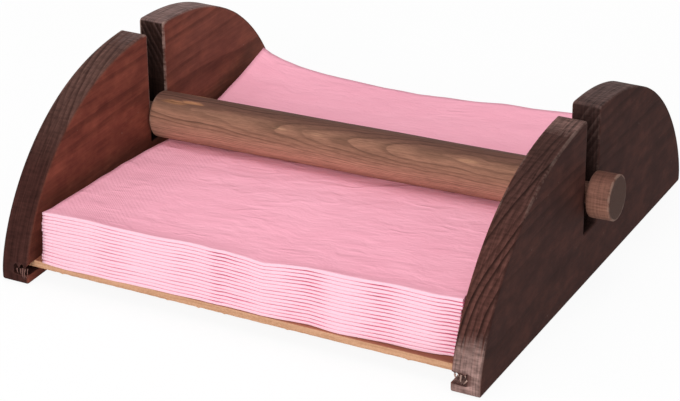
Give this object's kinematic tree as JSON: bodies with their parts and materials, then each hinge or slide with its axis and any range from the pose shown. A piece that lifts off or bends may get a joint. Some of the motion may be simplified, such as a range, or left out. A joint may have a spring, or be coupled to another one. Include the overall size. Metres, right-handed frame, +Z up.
{
  "type": "napkin holder",
  "caption": "Low tray-style napkin holder with half-moon wooden sides, a grooved-in base panel and a loose round press bar that rides in open slots and keeps the napkins down.",
  "frame": {"origin": "on the table, under the middle of the holder", "axes": "+X to the right along the press bar, +Y from the front to the back along the side boards, +Z up"},
  "size_m": [0.2152, 0.191, 0.0673],
  "materials": {
    "stained_board": "dark brown stain on pine, matte",
    "panel_board": "thin board, reddish brown stain above, tan sawn edge",
    "stained_dowel": "thin brown stain on a dowel, matte",
    "pin_wood": "plain hardwood pin, matte",
    "napkin_paper": "pink tissue paper, embossed border, matte"
  },
  "bodies": {
    "holder": {"left_side": "stained_board", "right_side": "stained_board", "base_panel": "panel_board", "napkin_01": "napkin_paper", "napkin_02": "napkin_paper", "napkin_03": "napkin_paper", "napkin_04": "napkin_paper", "napkin_05": "napkin_paper", "napkin_06": "napkin_paper", "napkin_07": "napkin_paper", "napkin_08": "napkin_paper", "napkin_09": "napkin_paper", "napkin_10": "napkin_paper", "napkin_11": "napkin_paper", "napkin_12": "napkin_paper", "napkin_13": "napkin_paper", "napkin_14": "napkin_paper", "napkin_15": "napkin_paper", "napkin_16": "napkin_paper"},
    "bar_pins": {"left_pin": "pin_wood", "right_pin": "pin_wood"},
    "bar_roller": {"press_bar": "stained_dowel", "left_knob": "stained_dowel", "right_knob": "stained_dowel"}
  },
  "joints": [
    {"name": "bar_lift", "type": "slide", "parent": "holder", "child": "bar_pins", "axis": [0, 0, 1], "range_m": [0, 0.042]},
    {"name": "bar_roll", "type": "hinge", "parent": "bar_pins", "child": "bar_roller", "pos_m": [0, 0, 0.03345], "axis": [0.9997, 0, 0.0244], "continuous": true}
  ]
}
